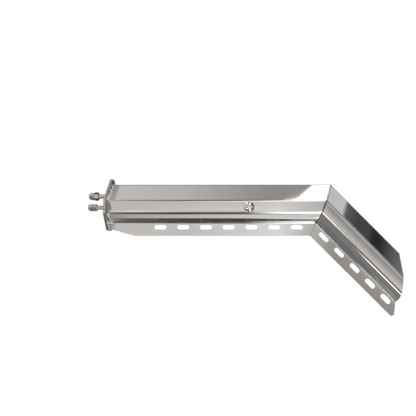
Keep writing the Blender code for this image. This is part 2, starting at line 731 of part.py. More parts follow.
def build():
    """Make every sub-part of the hanger."""
    arm_straight()
    arm_angled()
    miter_weld()
    mounting_plate()
    support_tube()
    plate_beads()
    tube_beads()
    carriage_bolt()
    carriage_fasteners()
    bolt_set("upper", UPPER_REACH, BOLT_SPACING / 2, HEAVY_NUT_FLATS, CORNER_UP, with_lock_washer=True)
    bolt_set("lower", LOWER_REACH, -BOLT_SPACING / 2, NUT_FLATS, FLAT_UP, with_lock_washer=False)


build()
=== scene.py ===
"""The finished look of the spring-loaded, angled mud flap hanger.

Every visible piece is built here in metres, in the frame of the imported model: +X runs along the
straight arm, -Y is the polished front and +Z is up.
"""

import math

import bmesh
import bpy
from mathutils import Matrix, Vector, noise


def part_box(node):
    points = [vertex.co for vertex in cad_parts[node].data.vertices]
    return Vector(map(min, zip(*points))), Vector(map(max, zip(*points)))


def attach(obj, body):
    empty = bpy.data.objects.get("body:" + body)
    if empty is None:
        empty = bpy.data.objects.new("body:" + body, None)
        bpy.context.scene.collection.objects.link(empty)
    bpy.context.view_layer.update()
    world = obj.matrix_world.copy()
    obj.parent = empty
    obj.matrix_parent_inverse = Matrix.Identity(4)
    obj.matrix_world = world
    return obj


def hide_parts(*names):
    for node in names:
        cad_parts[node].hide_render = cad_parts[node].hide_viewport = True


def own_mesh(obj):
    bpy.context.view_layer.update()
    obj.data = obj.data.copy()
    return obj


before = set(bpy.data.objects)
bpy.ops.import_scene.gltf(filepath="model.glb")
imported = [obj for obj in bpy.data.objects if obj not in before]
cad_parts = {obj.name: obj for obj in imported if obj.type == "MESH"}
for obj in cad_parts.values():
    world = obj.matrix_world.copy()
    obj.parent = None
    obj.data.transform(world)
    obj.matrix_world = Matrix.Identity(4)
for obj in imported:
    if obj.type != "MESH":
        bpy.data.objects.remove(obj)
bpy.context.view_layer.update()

MM = 0.001
X_AXIS = Vector((1, 0, 0))
Y_AXIS = Vector((0, 1, 0))
Z_AXIS = Vector((0, 0, 1))

# ---------------------------------------------------------------- sizes taken from the frame

ARM_LOW, ARM_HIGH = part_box("arm_straight")
ANGLED_LOW, ANGLED_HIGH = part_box("arm_angled")
PLATE_LOW, PLATE_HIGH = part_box("mounting_plate")
TUBE_LOW, TUBE_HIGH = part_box("support_tube")

FRONT_Y = ARM_LOW.y
REAR_Y = ARM_HIGH.y
TOP_Z = ARM_HIGH.z
BOTTOM_Z = ARM_LOW.z
ARM_START_X = ARM_LOW.x
PLATE = PLATE_HIGH.x
GAP = ARM_START_X - PLATE
FAR_END_X = ANGLED_HIGH.x
FAR_BOTTOM_Z = ANGLED_LOW.z

# ---------------------------------------------------------------- sizes of the sheet metal

SHEET = 2.0 * MM
FRONT_TOP_Z = 0.0
FRONT_BOTTOM_Z = -31.75 * MM
FLANGE_Y = 13.3 * MM
FLANGE_TOP_Z = BOTTOM_Z + 34.65 * MM
REAR_LIP = 17.0 * MM
TOP_BEND = 9.0 * MM
UPPER_FRONT_BEND = 8.0 * MM
LOWER_FRONT_BEND = 11.0 * MM
CREASE_BEND = 14.0 * MM
FLANGE_BEND = 5.0 * MM
CREASE_RUN = 0.4
CREASE_DROP = 0.58
BEND_STEPS = 14
EDGE_ROUND = 0.35 * MM

BEND_ANGLE = math.radians(45)
MITER_LEAN = BEND_ANGLE / 2
END_CUT_LEAN = math.radians(6)
END_CORNER_RADIUS = 7.0 * MM
CHAMFER_LENGTH = 61.05 * MM
CHAMFER_RISE = 16.5 * MM
MITER_GAP = 0.35 * MM
UNCUT_LENGTH = 400.0 * MM
END_CORNER_STEPS = 16

SLOT_LENGTH = 31.75 * MM
SLOT_WIDTH = 12.0 * MM
SLOT_Z = BOTTOM_Z + 22.3 * MM
SLOT_SIDES = 48
STRAIGHT_SLOTS = (135.0 * MM, 59.4 * MM, 7)
ANGLED_SLOTS = (27.5 * MM, 57.0 * MM, 5)

# The straight arm's and the angled arm's top edges meet here
BEND_TOP_X = 582.0 * MM
BEND_POINT = Vector((BEND_TOP_X, 0, TOP_Z))
BEND_TURN = (
    Matrix.Translation(BEND_POINT) @ Matrix.Rotation(BEND_ANGLE, 4, "Y") @ Matrix.Translation(-BEND_POINT)
)
MITER_NORMAL = Vector((math.cos(MITER_LEAN), 0, -math.sin(MITER_LEAN)))

# ---------------------------------------------------------------- camera

# The camera looks straight at the front, from 1.4 m away and a little below the straight arm
CAMERA_PLACE = Vector((0.361, -1.385, -0.1357))
CAMERA_LENS = 46.38
CAMERA_SHIFT = (-0.09375, 0.1122)

HEX = 6
ROUND = 96
PAST = 20 * MM
BLOCK = 1.0
WELD_DISTANCE = 0.002 * MM


# ---------------------------------------------------------------- nodes


def srgb(code):
    """A hex colour as it looks on screen, as linear red, green and blue."""
    levels = [int(code[i : i + 2], 16) / 255 for i in (0, 2, 4)]
    return [level / 12.92 if level <= 0.04045 else ((level + 0.055) / 1.055) ** 2.4 for level in levels]


class Nodes:
    """A node tree with short ways to add and join its nodes."""

    def __init__(self, tree):
        self.tree = tree

    def add(self, kind, inputs=None, **settings):
        """Add a node, set its properties, and set or link its inputs."""
        node = self.tree.nodes.new(kind)
        for key, value in settings.items():
            setattr(node, key, value)
        for key, value in (inputs or {}).items():
            if isinstance(value, bpy.types.NodeSocket):
                self.tree.links.new(value, node.inputs[key])
            else:
                node.inputs[key].default_value = value
        return node

    def link(self, value, node, name):
        """Join a socket to a node's named input."""
        self.tree.links.new(value, node.inputs[name])

    def math(self, operation, first, second=0.0, clamp=False):
        """A Math node's result."""
        node = self.add("ShaderNodeMath", {0: first, 1: second}, operation=operation, use_clamp=clamp)
        return node.outputs[0]

    def share(self, value, low, high):
        """How far a value has come from low to high, from 0 to 1."""
        return self.math("DIVIDE", self.math("SUBTRACT", value, low), high - low, clamp=True)

    def noise(self, vector, scale, detail=2.0, roughness=0.5):
        """A Noise Texture's factor."""
        node = self.add("ShaderNodeTexNoise", {"Vector": vector, "Scale": scale, "Detail": detail,
                                               "Roughness": roughness})
        return node.outputs["Fac"]

    def ramp(self, factor, stops):
        """A Color Ramp through (place, linear colour) stops."""
        node = self.add("ShaderNodeValToRGB", {"Fac": factor})
        ramp = node.color_ramp
        while len(ramp.elements) < len(stops):
            ramp.elements.new(1.0)
        for element, (place, color) in zip(ramp.elements, stops):
            element.position = place
            element.color = (*color, 1)
        return node.outputs["Color"]

    def span(self, value, low, high):
        """The same as share, but smooth at both ends."""
        node = self.add("ShaderNodeMapRange", {"Value": value, "From Min": low, "From Max": high},
                        interpolation_type="SMOOTHSTEP")
        return node.outputs["Result"]

    def patch(self, *edges):
        """1 inside every soft (value, outer limit, inner limit) edge, and 0 outside any of them."""
        inside = self.span(*edges[0])
        for edge in edges[1:]:
            inside = self.math("MULTIPLY", inside, self.span(*edge))
        return inside

    def mix(self, factor, first, second):
        """A colour between two colours."""
        node = self.add("ShaderNodeMix", data_type="RGBA")
        sockets = [s for s in node.inputs if s.enabled]
        for socket, value in zip(sockets, (factor, first, second)):
            if isinstance(value, bpy.types.NodeSocket):
                self.tree.links.new(value, socket)
            elif isinstance(value, float):
                socket.default_value = value
            else:
                socket.default_value = (*value, 1)
        return next(s for s in node.outputs if s.enabled)


# ---------------------------------------------------------------- studio

# What the polished faces mirror: strips of light and shade that run round the arm's own axis. Each
# column holds (angle, colour): 0 is level behind the arm, 90 overhead, 180 level in front, 270 below.
DARK_REAR = [(0, "24211f"), (64.6, "24211f")]
STRIPS = {
    -0.26: [*DARK_REAR, (66, "bbb8b5"), (69.3, "bebab7"), (70, "b6b2ae"), (110, "b6b2ae"),
        (125, "b6b2af"), (174.2, "bab6b3"), (175.6, "c0bcb9"), (192, "c0bcb9"), (204, "a09c98"),
        (228, "7f7b77"), (259, "7c7874"), (285, "8c8885"), (298, "8c8885"), (308, "8a8682"),
        (342, "8a8682")],
    -0.21: [*DARK_REAR, (66, "bbb8b5"), (69.3, "bbb8b5"), (70, "7b7772"), (110, "7b7772"),
        (125, "b8b4b1"), (174.2, "bab6b3"), (178.2, "c0bcb9"), (182, "f8f6f4"), (198, "f8f6f4"),
        (203, "a8a4a0"), (208, "8a8682"), (210, "64605c"), (218.5, "64605c"), (221, "8a8682"),
        (232, "5e5a56"), (256, "5e5a56"), (280, "6e6a67"), (290, "b0aca9"), (298, "a8a4a1"),
        (306, "5a5652"), (342, "524f4b")],
    -0.12: [*DARK_REAR, (66, "b4b0ad"), (69.3, "b4b0ad"), (70, "4a4641"), (110, "4a4641"),
        (125, "b8b4b1"), (174.2, "bbb7b4"), (174.9, "bdb9b8"), (175.6, "cbcac8"), (176.4, "bfbcbb"),
        (178.2, "bebcbb"), (190, "c4c1bf"), (200, "b4b1ae"), (207.5, "b0adaa"), (209.5, "4a4642"),
        (218.5, "4a4642"), (221, "94908d"), (232, "46423e"), (262, "423e3a"), (279, "605d5a"),
        (290, "bebbb9"), (298, "b4b1ae"), (303, "3a3733"), (342, "46433f")],
    0.0: [*DARK_REAR, (66, "989490"), (69.3, "989490"), (70, "24211e"), (112, "3a3733"),
        (122, "e8e4e1"), (160, "dcd8d5"), (174.2, "bdb9b8"), (174.9, "c3c1bf"), (175.5, "dad9d7"),
        (176.4, "cecdcb"), (178.2, "cfcecc"), (188, "b4b1ae"), (200, "acaaa7"), (207.5, "aaa8a5"),
        (209.5, "44413d"), (218.5, "44413d"), (221, "a09d9a"), (234, "565350"), (256, "504d4a"),
        (279, "7a7774"), (290, "d2cfcd"), (298, "c6c3c1"), (306, "3a3733"), (342, "46433f")],
    0.06: [*DARK_REAR, (66, "8e8a87"), (69.3, "8d8986"), (70, "3a3733"), (88, "4b4743"), (98, "f4f2f0"),
        (160, "e6e3e1"), (174.2, "c6c2bf"), (174.9, "cbcac8"), (175.5, "e2e0de"), (176.4, "d8d7d5"),
        (178.2, "d8d7d5"), (186, "a8a5a2"), (196, "9c9996"), (200, "ffffff"), (207.5, "ffffff"),
        (209.5, "5c5a57"), (218.5, "5c5a57"), (221, "ffffff"), (228, "ffffff"), (250, "e8e6e4"),
        (264, "a8a5a2"), (280, "84817e"), (290, "d0cecc"), (299, "c8c6c4"), (309, "6a6865"),
        (342, "6a6865")],
    0.12: [*DARK_REAR, (66, "8e8a87"), (69.3, "8d8986"), (70, "ffffff"), (90, "ffffff"),
        (112, "f4f2f0"), (160, "d0cdca"), (174.2, "bbb6b2"), (174.9, "bab5b1"), (175.5, "bfbcb7"),
        (176.4, "b8b5b3"), (178.2, "aaa8a5"), (188, "9a9895"), (197, "a8a5a2"), (200, "ffffff"),
        (207.5, "ffffff"), (209.5, "a09e9a"), (218.5, "a09e9a"), (221, "ffffff"), (254, "ffffff"),
        (266, "c8c5c3"), (280, "8e8b88"), (290, "cccac8"), (299, "c6c4c2"), (309, "9a9895"),
        (342, "908e8b")],
    0.2: [(0, "3a3835"), (60, "5a5652"), (90, "8a8785"), (130, "a8a5a2"), (168, "a5a29f"),
        (178, "a5a29f"), (188, "c4c2bf"), (226, "dedcda"), (268, "c0bebb"), (300, "aaa8a5"),
        (342, "908e8b")],
    0.5: [(0, "8a8886"), (60, "6a6866"), (80, "585654"), (120, "6a6866"), (136, "a8a6a4"),
        (150, "b8b6b4"), (160, "a5a29f"), (178, "a5a29f"), (300, "9a9895")],
    0.92: [(0, "5a5856"), (90, "4a4846"), (170, "464442"), (250, "5a5856")],
}
# The same kind of strips on the three cards that the angled arm mirrors
FRONT_RIGHT = [
    (0.0, "c2bfbc"), (4.6, "b8b4b1"), (5.4, "8c8885"), (6.2, "94908e"), (6.8, "b2b0ae"), (7.6, "c4c2c0"),
    (9.0, "a4a19f"), (9.6, "928e8b"), (11.5, "8c8987"), (14.0, "d8d6d4"),
]
UP_RIGHT = [
    (0.0, "b6b6b7"), (0.12, "b8b8b9"), (0.255, "bfbfc1"), (0.275, "545556"), (0.33, "4e5050"),
    (0.383, "404241"), (0.487, "424443"), (0.54, "242625"), (0.60, "282a29"), (0.643, "3a3c3b"),
    (0.69, "4c4e4c"), (1.0, "8a8b89"),
]
DOWN_LEFT = [
    (170, "b0adaa"), (190, "767472"), (202, "767472"), (203.5, "ffffff"), (209.5, "ffffff"), (211, "767472"),
    (302, "777573"), (312, "6a6866"), (340, "6a6866"),
]
# Small lamps among the strips: from x, to x, from angle, to angle
GLINTS = [
    (0.2, 0.36, 106, 134), (0.2, 0.36, 222, 248), (-0.6, -0.35, 72, 100), (-0.6, -0.35, 262, 290),
]
GLINT_EDGE_X = 0.03
GLINT_EDGE_ANGLE = 4
WHITE = "ffffff"
STUDIO_GAIN = 6.0
MIRROR = 0.80


def studio_color(code, boost=1.0):
    """The studio light that a polished face shows as this colour."""
    return [level * boost / MIRROR / STUDIO_GAIN for level in srgb(code)]


def studio_stops(strips, length=360, glare=1.7):
    """The stops of a ramp as long as the strips, on which white ones outshine the rest by glare."""
    stops = []
    for place, code in strips:
        stops.append((place / length, studio_color(code, glare if code == WHITE else 1.0)))
    return stops


def strip_columns(nodes, x, turn):
    """The strips of every column, blended from one column to the next along x."""
    places = sorted(STRIPS)
    made = nodes.ramp(turn, studio_stops(STRIPS[places[0]]))
    for last, place in zip(places, places[1:]):
        column = nodes.ramp(turn, studio_stops(STRIPS[place]))
        made = nodes.mix(nodes.share(x, last, place), made, column)
    return made


def over_miter(nodes, x, degrees):
    """A white card low over the miter, whose curved edge shows in the straight arm's upper slope."""
    drop = nodes.share(degrees, 67.2, 68.8)
    curve = nodes.math("ADD", nodes.math("MULTIPLY", drop, 0.03),
                       nodes.math("MULTIPLY", nodes.math("POWER", drop, 12), 0.02))
    edge = (nodes.math("ADD", x, curve), 0.117, 0.122)
    return nodes.patch(edge, (degrees, 64.5, 66), (degrees, 73, 70)), studio_color(WHITE, 1.3)


def thin_strip(nodes, x, degrees):
    """A thin bright strip just under the level front, seen in the angled arm's bend."""
    inside = nodes.patch((degrees, 180.3, 181.3), (degrees, 202, 199), (x, 0.13, 0.15), (x, 0.3, 0.25))
    return inside, studio_color(WHITE, 6)


def front_right(nodes, x, degrees):
    """What the angled arm's vertical faces mirror."""
    across = nodes.math("SUBTRACT", degrees, nodes.math("MULTIPLY", x, 60))
    light = nodes.ramp(nodes.share(across, 160, 176), studio_stops(FRONT_RIGHT, 16))
    return nodes.patch((x, 0.125, 0.16), (degrees, 150, 165), (degrees, 200, 190)), light


def up_right(nodes, x, degrees):
    """The dark card that the angled arm's upper slope mirrors."""
    lean = nodes.math("MULTIPLY", nodes.math("SUBTRACT", degrees, 53), 0.0136)
    along = nodes.math("SUBTRACT", x, lean)
    light = nodes.ramp(nodes.share(along, 0.6, 0.9), studio_stops(UP_RIGHT, 1))
    return nodes.patch((x, 0.45, 0.6), (degrees, 30, 42), (degrees, 70, 60)), light


def down_left(nodes, x, degrees):
    """What the angled arm's lower slope and its bends mirror."""
    light = nodes.ramp(nodes.math("DIVIDE", degrees, 360), studio_stops(DOWN_LEFT, glare=2.4))
    return nodes.patch((x, -0.29, -0.31), (degrees, 170, 195)), light


def studio_world():
    """A studio of light and dark strips for the mirror faces, and plain white for what lies behind."""
    world = bpy.data.worlds.new("studio")
    bpy.context.scene.world = world
    world.use_nodes = True
    world.node_tree.nodes.clear()
    nodes = Nodes(world.node_tree)
    direction = nodes.add("ShaderNodeTexCoord").outputs["Generated"]
    x, y, z = nodes.add("ShaderNodeSeparateXYZ", {0: direction}).outputs
    turn = nodes.math("DIVIDE", nodes.math("ARCTAN2", z, y), 2 * math.pi)
    turn = nodes.math("FRACT", nodes.math("ADD", turn, 1))
    degrees = nodes.math("MULTIPLY", turn, 360)
    color = strip_columns(nodes, x, turn)
    for card in (over_miter, thin_strip, front_right, up_right, down_left):
        inside, light = card(nodes, x, degrees)
        color = nodes.mix(inside, color, light)

    # The lamps' glints show in the angled arm's bends, the bolt's dome and the welds
    for first, last, low, high in GLINTS:
        glint = nodes.patch((x, first, first + GLINT_EDGE_X), (x, last, last - GLINT_EDGE_X),
                            (degrees, low, low + GLINT_EDGE_ANGLE), (degrees, high, high - GLINT_EDGE_ANGLE))
        color = nodes.mix(glint, color, studio_color(WHITE, 2.2))

    camera_ray = nodes.add("ShaderNodeLightPath").outputs["Is Camera Ray"]
    color = nodes.mix(camera_ray, color, [1.0 / STUDIO_GAIN] * 3)
    background = nodes.add("ShaderNodeBackground", {"Color": color, "Strength": STUDIO_GAIN})
    output = nodes.add("ShaderNodeOutputWorld")
    nodes.link(background.outputs[0], output, "Surface")


def opened(material):
    """A material's nodes, its shader and the coordinates of the piece it is on."""
    material.use_nodes = True
    nodes = Nodes(material.node_tree)
    place = nodes.add("ShaderNodeTexCoord").outputs["Object"]
    return nodes, material.node_tree.nodes["Principled BSDF"], place


def floor_material():
    """Plain pale floor paint with a faint mottle."""
    made = bpy.data.materials.new("floor")
    nodes, shader, place = opened(made)
    mottle = nodes.noise(place, FLOOR_MOTTLE)
    mottle = nodes.ramp(mottle, [(0.3, (0.90, 0.90, 0.90)), (0.7, (0.93, 0.93, 0.93))])
    nodes.link(mottle, shader, "Base Color")
    shader.inputs["Roughness"].default_value = 0.8
    shader.inputs["Emission Color"].default_value = (1, 1, 1, 1)
    shader.inputs["Emission Strength"].default_value = 0.8
    return made


FLOOR_SIZE = 12
FLOOR_PLACE = Vector((0.4, 0, FAR_BOTTOM_Z - 0.29))
LIGHTS_AIM = Vector((0.35, 0, -0.05))
# Place, power in watts and size of each soft light
LIGHTS = {
    "key_light": (Vector((-0.4, -1.3, 1.9)), 22, 1.2),
    "fill_light": (Vector((1.6, -1.0, 1.2)), 10, 1.4),
}


def put(name, data):
    """Put a mesh, a light or a camera in the scene."""
    made = bpy.data.objects.new(name, data)
    bpy.context.collection.objects.link(made)
    return made


def mesh_from(bm, name):
    """Turn a bmesh into mesh data."""
    data = bpy.data.meshes.new(name)
    bm.to_mesh(data)
    bm.free()
    return data


def studio():
    """The floor, the soft lights and the camera."""
    bpy.context.scene.view_settings.view_transform = "Standard"
    studio_world()
    bm = bmesh.new()
    bmesh.ops.create_grid(bm, x_segments=4, y_segments=4, size=FLOOR_SIZE)
    floor = put("floor", mesh_from(bm, "floor"))
    floor.location = FLOOR_PLACE
    floor.visible_glossy = False
    floor.data.materials.append(floor_material())

    for name, (place, energy, size) in LIGHTS.items():
        light = bpy.data.lights.new(name, "AREA")
        light.energy = energy
        light.size = size
        lamp = put(name, light)
        lamp.location = place
        lamp.visible_glossy = False
        lamp.rotation_euler = (LIGHTS_AIM - place).to_track_quat("-Z", "Y").to_euler()

    camera = bpy.data.cameras.new("camera")
    camera.lens = CAMERA_LENS
    camera.shift_x, camera.shift_y = CAMERA_SHIFT
    camera.clip_end = 50
    holder = put("camera", camera)
    holder.location = CAMERA_PLACE
    holder.rotation_euler = (math.radians(90), 0, 0)
    bpy.context.scene.camera = holder


# ---------------------------------------------------------------- materials


# Noise scales, from the finest grain to the broadest mottle
FINE_GRAIN = 900.0
DARK_FLECKS = 700.0
BRIGHT_FLECKS = 500.0
SEAM_WANDER = 300.0
HEAT_WANDER = 140.0
BROAD_MOTTLE = 24.0
FLOOR_MOTTLE = 3.0
HEATED_BAND = 32 * MM
HEATED_ROUGHNESS = 0.2


def finish_material(name, color, roughness, grain, spots, metallic=1.0, grain_axis=(1, 1, 1), bump=0.0):
    """A metal or paint whose colour, roughness and surface vary with a fine grain and faint spots."""
    made = bpy.data.materials.new(name)
    nodes, shader, place = opened(made)
    shader.inputs["Metallic"].default_value = metallic
    stretched = nodes.add("ShaderNodeMapping", {"Vector": place, "Scale": grain_axis}).outputs[0]
    fine = nodes.noise(stretched, FINE_GRAIN, 3.0, 0.6)
    broad = nodes.noise(place, BROAD_MOTTLE, 3.0, 0.55)
    mottle = nodes.math("ADD", nodes.math("MULTIPLY", fine, 0.45), nodes.math("MULTIPLY", broad, 0.55))
    dark = [level * (1 - spots) for level in color]
    light = [min(1.0, level * (1 + spots * 0.4)) for level in color]
    nodes.link(nodes.ramp(mottle, [(0.35, dark), (0.65, light)]), shader, "Base Color")
    low, high = roughness * (1 - grain), roughness * (1 + grain)
    rough = nodes.add("ShaderNodeMapRange", {"Value": mottle, "From Min": 0.3, "From Max": 0.7,
                                             "To Min": low, "To Max": high})
    nodes.link(rough.outputs["Result"], shader, "Roughness")
    if bump:
        height = nodes.add("ShaderNodeBump", {"Height": fine, "Distance": bump, "Strength": 0.5})
        nodes.link(height.outputs["Normal"], shader, "Normal")
    return made


def seam_material():
    """The miter's weld: bright on the upper slope, and dark below it on the front and the flange."""
    made = finish_material("seam_metal", (0.5, 0.5, 0.5), 0.28, grain=0.4, spots=0.12, bump=0.02 * MM)
    nodes, shader, place = opened(made)
    height = nodes.add("ShaderNodeSeparateXYZ", {0: place}).outputs["Z"]
    wander = nodes.math("MULTIPLY", nodes.noise(place, SEAM_WANDER), 3 * MM)
    low = nodes.noise(place, DARK_FLECKS)
    low = nodes.ramp(low, [(0.35, (0.05, 0.048, 0.045)), (0.7, (0.22, 0.21, 0.20))])
    high = nodes.noise(place, BRIGHT_FLECKS)
    high = nodes.ramp(high, [(0.3, (0.55, 0.54, 0.53)), (0.6, (0.86, 0.86, 0.85))])
    color = nodes.mix(nodes.span(nodes.math("ADD", height, wander), 0.0, 3 * MM), low, high)
    nodes.link(color, shader, "Base Color")
    return made


def stainless_material():
    """Mirror polished stainless steel, dulled in the narrow band beside the plate by the welding's heat."""
    made = finish_material("polished_stainless", (MIRROR, MIRROR, MIRROR), 0.035, grain=0.5,
                           grain_axis=(0.05, 1, 1), spots=0.02)
    nodes, shader, place = opened(made)
    polished = shader.inputs["Roughness"].links[0].from_socket
    along = nodes.add("ShaderNodeSeparateXYZ", {0: place}).outputs["X"]
    along = nodes.math("ADD", along, nodes.math("MULTIPLY", nodes.noise(place, HEAT_WANDER), 6 * MM))
    heated = nodes.span(along, PLATE + HEATED_BAND, PLATE + HEATED_BAND / 2)
    dulled = nodes.math("ADD", polished, nodes.math("MULTIPLY", heated, HEATED_ROUGHNESS), clamp=True)
    nodes.link(dulled, shader, "Roughness")
    return made


STAINLESS = stainless_material()
PLATE_STEEL = finish_material("plate_steel", (0.62, 0.61, 0.59), 0.26, grain=0.3, spots=0.10,
                              grain_axis=(1, 0.08, 0.6), bump=0.006 * MM)
WELD_METAL = finish_material("weld_metal", (0.92, 0.91, 0.89), 0.13, grain=0.4, spots=0.10, bump=0.008 * MM)
GROUND_WELD = finish_material("ground_weld", (0.36, 0.355, 0.34), 0.26, grain=0.4, spots=0.16,
                              grain_axis=(0.1, 1, 1), bump=0.02 * MM)
SEAM_METAL = seam_material()
ZINC = finish_material("zinc_plate", (0.76, 0.75, 0.70), 0.20, grain=0.35, spots=0.12, bump=0.004 * MM)
BOLT_STEEL = finish_material("bolt_steel", (0.58, 0.56, 0.51), 0.24, grain=0.3, spots=0.14)
CHROME = finish_material("chrome_bolt", (0.80, 0.80, 0.79), 0.06, grain=0.3, spots=0.03)
SPRING_STEEL = finish_material("spring_steel", (0.10, 0.10, 0.11), 0.35, grain=0.3, spots=0.2, bump=0.02 * MM)
TUBE_PAINT = finish_material("tube_steel", (0.035, 0.035, 0.038), 0.42, grain=0.3, spots=0.2, metallic=0.0,
                             bump=0.03 * MM)


# ---------------------------------------------------------------- shared shapes


BEVEL_FROM = math.radians(35)
SHARP_FROM = math.radians(50)


def boolean(target, data, operation="DIFFERENCE"):
    """Cut a piece with a mesh, or join or intersect the two, at once."""
    tool = put("tool", data)
    step = target.modifiers.new("cut", "BOOLEAN")
    step.operation = operation
    step.solver = "EXACT"
    step.object = tool
    settle(target)
    bpy.data.objects.remove(tool)


def settle(target):
    """Apply a piece's modifiers."""
    bpy.context.view_layer.update()
    evaluated = target.evaluated_get(bpy.context.evaluated_depsgraph_get())
    data = bpy.data.meshes.new_from_object(evaluated)
    target.modifiers.clear()
    old = target.data
    target.data = data
    data.name = target.name
    bpy.data.meshes.remove(old)


def soften(target, width, segments):
    """Round a piece's edges by a width, then shade it smooth while its flat faces stay flat."""
    if width:
        edge = target.modifiers.new("edge", "BEVEL")
        edge.width = width
        edge.segments = segments
        edge.limit_method = "ANGLE"
        edge.angle_limit = BEVEL_FROM
        edge.harden_normals = False
        settle(target)
    target.data.shade_smooth()
    target.data.set_sharp_from_angle(angle=SHARP_FROM)
    weigh = target.modifiers.new("flat_faces", "WEIGHTED_NORMAL")
    weigh.keep_sharp = True
    weigh.weight = 100
    settle(target)


def finish_piece(piece, body, finish, node, rounding=0, segments=2):
    """Round a piece, give it its material and body, and hide the CAD node it stands for."""
    soften(piece, rounding, segments)
    piece.data.materials.clear()
    piece.data.materials.append(finish)
    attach(piece, body)
    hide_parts(node)


def neighbours(path, index):
    """The points before and after one of a path's points, or the point itself at an end."""
    return path[max(index - 1, 0)], path[min(index + 1, len(path) - 1)]


def fillet_path(corners, radii, steps, closed=False):
    """Round the corners of a path of 2D points, each with an arc of its own radius."""
    path = []
    count = len(corners)
    for index, (corner, radius) in enumerate(zip(corners, radii)):
        corner = Vector(corner)
        if radius == 0 or (not closed and index in (0, count - 1)):
            path.append(corner)
            continue
        back = (Vector(corners[index - 1]) - corner).normalized()
        ahead = (Vector(corners[(index + 1) % count]) - corner).normalized()
        half = back.angle(ahead) / 2
        centre = corner + (back + ahead).normalized() * radius / math.sin(half)
        first = corner + back * radius / math.tan(half) - centre
        last = corner + ahead * radius / math.tan(half) - centre
        sweep = first.angle_signed(last)
        for step in range(steps + 1):
            path.append(centre + Matrix.Rotation(-sweep * step / steps, 2) @ first)
    return path


def cylinder_mesh(radius, start, end, sides=ROUND, turn=0.0):
    """A cylinder, or a prism of few sides, between two points."""
    axis = end - start
    place = (
        Matrix.Translation((start + end) / 2)
        @ axis.to_track_quat("Z", "Y").to_matrix().to_4x4()
        @ Matrix.Rotation(turn, 4, "Z")
    )
    bm = bmesh.new()
    bmesh.ops.create_cone(
        bm, cap_ends=True, segments=sides, radius1=radius, radius2=radius, depth=axis.length, matrix=place
    )
    return mesh_from(bm, "cylinder")


def half_space_mesh(point, normal):
    """A large cutting block that fills the side of a plane its normal is on."""
    turn = normal.to_track_quat("Z", "Y").to_matrix().to_4x4()
    bm = bmesh.new()
    bmesh.ops.create_cube(bm, size=BLOCK, matrix=Matrix.Translation(point + normal * BLOCK / 2) @ turn)
    return mesh_from(bm, "block")


def box_mesh(size, place):
    """A box of a given size, placed by a matrix."""
    bm = bmesh.new()
    bmesh.ops.create_cube(bm, size=1, matrix=place @ Matrix.Diagonal((*size, 1)))
    return mesh_from(bm, "box")


def prism_mesh(outline, low, high, axes):
    """A closed outline of 2D points, drawn out between two heights along the third of three axes."""
    bm = bmesh.new()
    across, up, out = axes
    rings = []
    for height in (low, high):
        rings.append([bm.verts.new(across * a + up * b + out * height) for a, b in outline])
    count = len(outline)
    for index in range(count):
        after = (index + 1) % count
        bm.faces.new((rings[0][index], rings[0][after], rings[1][after], rings[1][index]))
    bm.faces.new(list(reversed(rings[0])))
    bm.faces.new(rings[1])
    bmesh.ops.recalc_face_normals(bm, faces=bm.faces)
    return mesh_from(bm, "prism")


def grid_mesh(rows, columns, point, wrap_rows=False, cap=False):
    """A surface through point(row, column), closed round its columns; cap fills both ends."""
    bm = bmesh.new()
    verts = [[bm.verts.new(point(row, column)) for column in range(columns)] for row in range(rows)]
    for row in range(rows if wrap_rows else rows - 1):
        after_row = (row + 1) % rows
        for column in range(columns):
            after = (column + 1) % columns
            near, far = verts[row], verts[after_row]
            bm.faces.new((near[column], near[after], far[after], far[column]))
    if cap:
        bm.faces.new(list(reversed(verts[0])))
        bm.faces.new(verts[-1])
    bmesh.ops.recalc_face_normals(bm, faces=bm.faces)
    return mesh_from(bm, "grid")


def turned_mesh(profile, origin, axis, sides=ROUND):
    """A closed profile of (radius, height) points turned about an axis through a point."""
    turn = axis.to_track_quat("Z", "Y").to_matrix()
    on_axis = any(radius == 0 for radius, _ in profile)

    def place(row, column):
        angle = 2 * math.pi * column / sides
        radius, height = profile[row]
        return origin + turn @ Vector((radius * math.cos(angle), radius * math.sin(angle), height))

    data = grid_mesh(len(profile), sides, place, wrap_rows=not on_axis)
    bm = bmesh.new()
    bm.from_mesh(data)
    bmesh.ops.remove_doubles(bm, verts=bm.verts, dist=WELD_DISTANCE)
    bmesh.ops.recalc_face_normals(bm, faces=bm.faces)
    bm.to_mesh(data)
    bm.free()
    return data


# ---------------------------------------------------------------- the arm


def section_corners():
    """The sharp corners of the arm's outer face in Y and Z, from the rear lip to the flange's edge."""
    to_top = Vector((REAR_Y - TOP_BEND - FRONT_Y, TOP_Z - TOP_BEND - FRONT_TOP_Z))
    slope = math.atan2(to_top.y, to_top.x) + math.asin(TOP_BEND / to_top.length)
    crease = (
        FRONT_Y + CREASE_RUN * (FLANGE_Y - FRONT_Y),
        FRONT_BOTTOM_Z + CREASE_DROP * (FLANGE_TOP_Z - FRONT_BOTTOM_Z),
    )
    return [
        (REAR_Y, TOP_Z - REAR_LIP),
        (REAR_Y, FRONT_TOP_Z + (REAR_Y - FRONT_Y) * math.tan(slope)),
        (FRONT_Y, FRONT_TOP_Z),
        (FRONT_Y, FRONT_BOTTOM_Z),
        crease,
        (FLANGE_Y, FLANGE_TOP_Z),
        (FLANGE_Y, BOTTOM_Z),
    ]


CORNERS = section_corners()
BENDS = [0, TOP_BEND, UPPER_FRONT_BEND, LOWER_FRONT_BEND, CREASE_BEND, FLANGE_BEND, 0]
SECTION = fillet_path(CORNERS, BENDS, BEND_STEPS)


